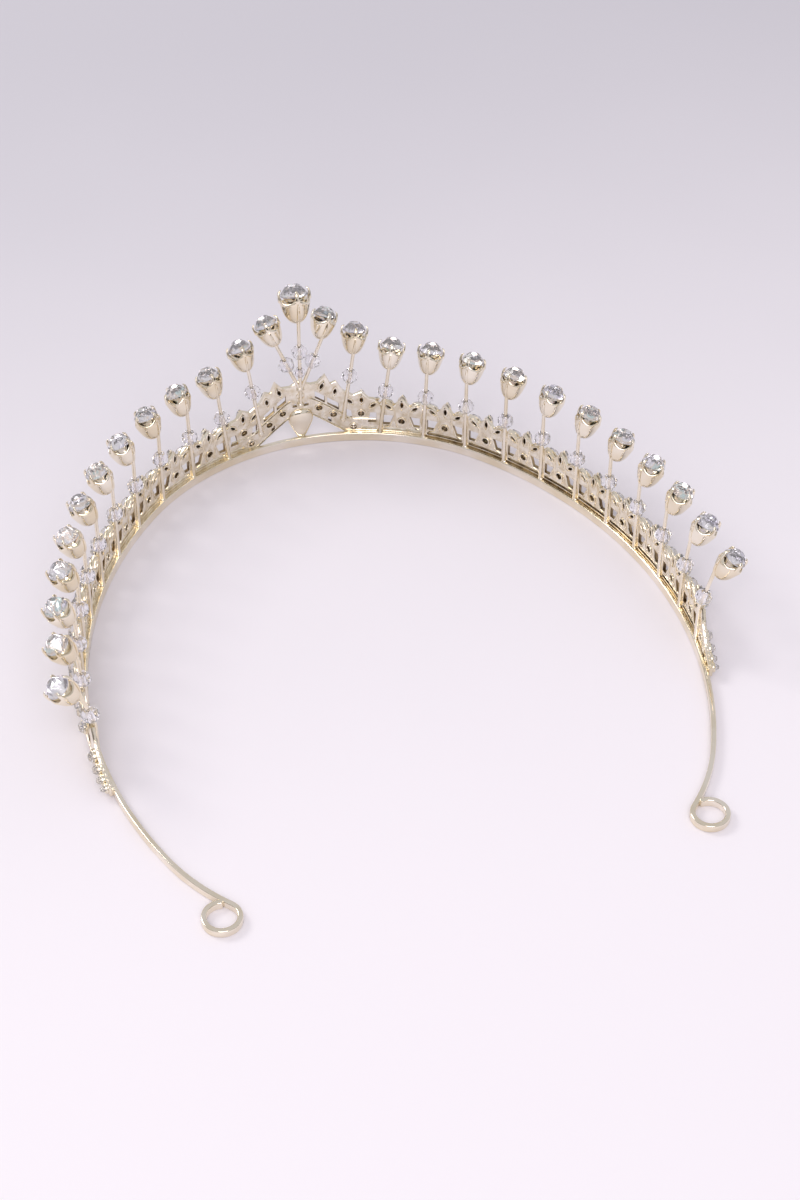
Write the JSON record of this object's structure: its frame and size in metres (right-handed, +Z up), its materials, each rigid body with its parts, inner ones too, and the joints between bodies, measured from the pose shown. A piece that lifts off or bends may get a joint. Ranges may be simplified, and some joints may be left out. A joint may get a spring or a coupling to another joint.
{
  "type": "rhinestone tiara",
  "caption": "Slender open tiara: flat band with curled ends, a pierced strip with a leaf edge and centre chevron, and upright posts with clear beads and claw-set round stones.",
  "frame": {"origin": "middle of the whole object's footprint, on the level of the band's lower edge", "axes": "+Z up along the posts, -Y to the front where the peak stands, +X to the wearer's left"},
  "size_m": [0.1608, 0.1598, 0.0465],
  "materials": {
    "pale_gold": "polished champagne-gold plating",
    "crystal": "faceted, foil-backed",
    "clear_bead": "faceted, clear"
  },
  "bodies": {
    "root": {"frame": "pale_gold", "stone_peak": "crystal", "stone_l1": "crystal", "stone_l2": "crystal", "stone_l3": "crystal", "stone_l4": "crystal", "stone_l5": "crystal", "stone_l6": "crystal", "stone_l7": "crystal", "stone_l8": "crystal", "stone_l9": "crystal", "stone_l10": "crystal", "stone_l11": "crystal", "stone_l12": "crystal", "stone_l13": "crystal", "stone_r1": "crystal", "stone_r2": "crystal", "stone_r3": "crystal", "stone_r4": "crystal", "stone_r5": "crystal", "stone_r6": "crystal", "stone_r7": "crystal", "stone_r8": "crystal", "stone_r9": "crystal", "stone_r10": "crystal", "stone_r11": "crystal", "stone_r12": "crystal", "stone_r13": "crystal", "pear_stone": "crystal", "post_beads": "clear_bead", "leaf_stones": "crystal", "round_stones": "crystal"}
  },
  "joints": []
}
